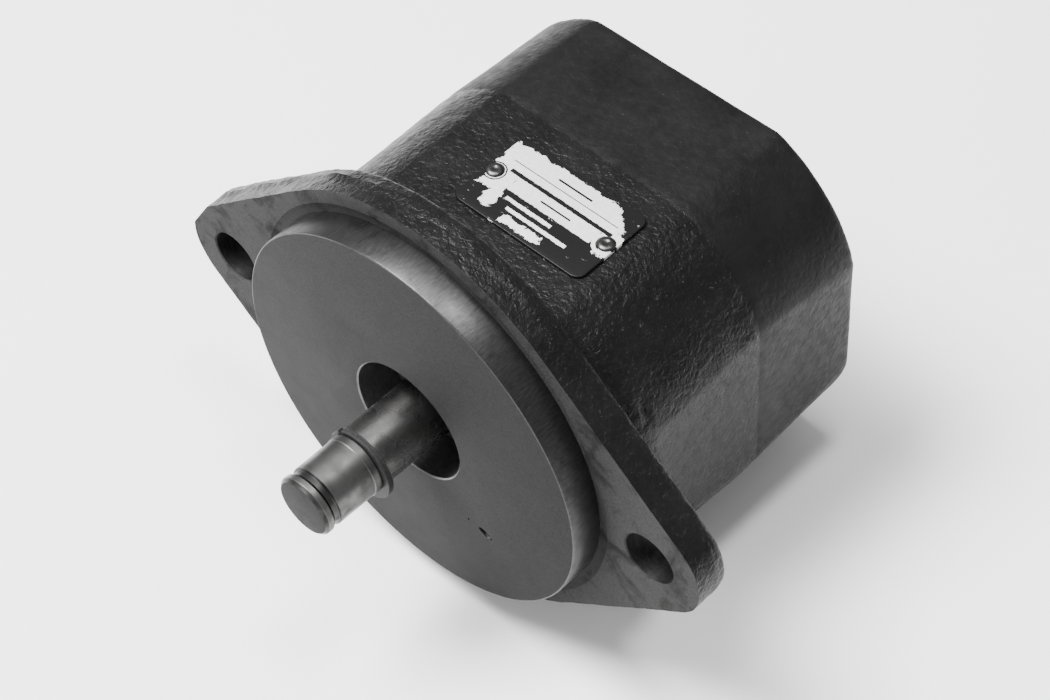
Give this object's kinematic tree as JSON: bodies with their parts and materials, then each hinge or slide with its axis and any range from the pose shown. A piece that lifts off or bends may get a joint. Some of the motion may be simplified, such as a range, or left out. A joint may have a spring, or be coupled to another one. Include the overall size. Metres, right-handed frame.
{
  "type": "hydraulic gear pump",
  "caption": "External gear pump with a two-bolt pilot flange, plain drive shaft, black cast housing and rear ports.",
  "frame": {"origin": "centre of the drive shaft's free end face", "axes": "-Y points out of the shaft's free end, +X along the flange's two bolt holes, +Z from the idler gear to the drive gear"},
  "size_m": [0.1296, 0.104, 0.0926],
  "materials": {
    "casting": "black paint over cast iron, machined faces bare grey",
    "ground_steel": "ground and oiled",
    "dark_steel": "blackened",
    "bronze": "machined bearing bronze",
    "rubber": "matt",
    "plate_metal": "worn printed plate",
    "rivet_steel": "satin"
  },
  "bodies": {
    "housing": {"front_body": "casting", "rear_cover": "casting", "front_drive_bush": "bronze", "front_idler_bush": "bronze", "rear_drive_bush": "bronze", "rear_idler_bush": "bronze", "front_wear_plate": "bronze", "rear_wear_plate": "bronze", "wear_plate_seal": "rubber", "shaft_seal_case": "dark_steel", "shaft_seal_lip": "rubber", "seal_garter_spring": "ground_steel", "cover_seal_ring": "rubber", "cover_bolt_upper_left": "dark_steel", "cover_bolt_upper_right": "dark_steel", "cover_bolt_lower_left": "dark_steel", "cover_bolt_lower_right": "dark_steel", "dowel_pin_left": "ground_steel", "dowel_pin_right": "ground_steel", "nameplate": "plate_metal", "nameplate_rivet_left": "rivet_steel", "nameplate_rivet_right": "rivet_steel"},
    "drive_shaft": {"drive_gear_shaft": "ground_steel", "shaft_key": "ground_steel", "shaft_retaining_ring": "dark_steel"},
    "idler": {"idler_gear_shaft": "ground_steel"}
  },
  "joints": [
    {"name": "drive_spin", "type": "hinge", "parent": "housing", "child": "drive_shaft", "pos_m": [0, 0.06, 0], "axis": [0, 1, 0], "continuous": true},
    {"name": "idler_spin", "type": "hinge", "parent": "housing", "child": "idler", "pos_m": [0, 0.06, -0.018], "axis": [0, 1, 0], "continuous": true}
  ],
  "couplings": [
    {"joint": "idler_spin", "follows": "drive_spin", "ratio": -1}
  ]
}
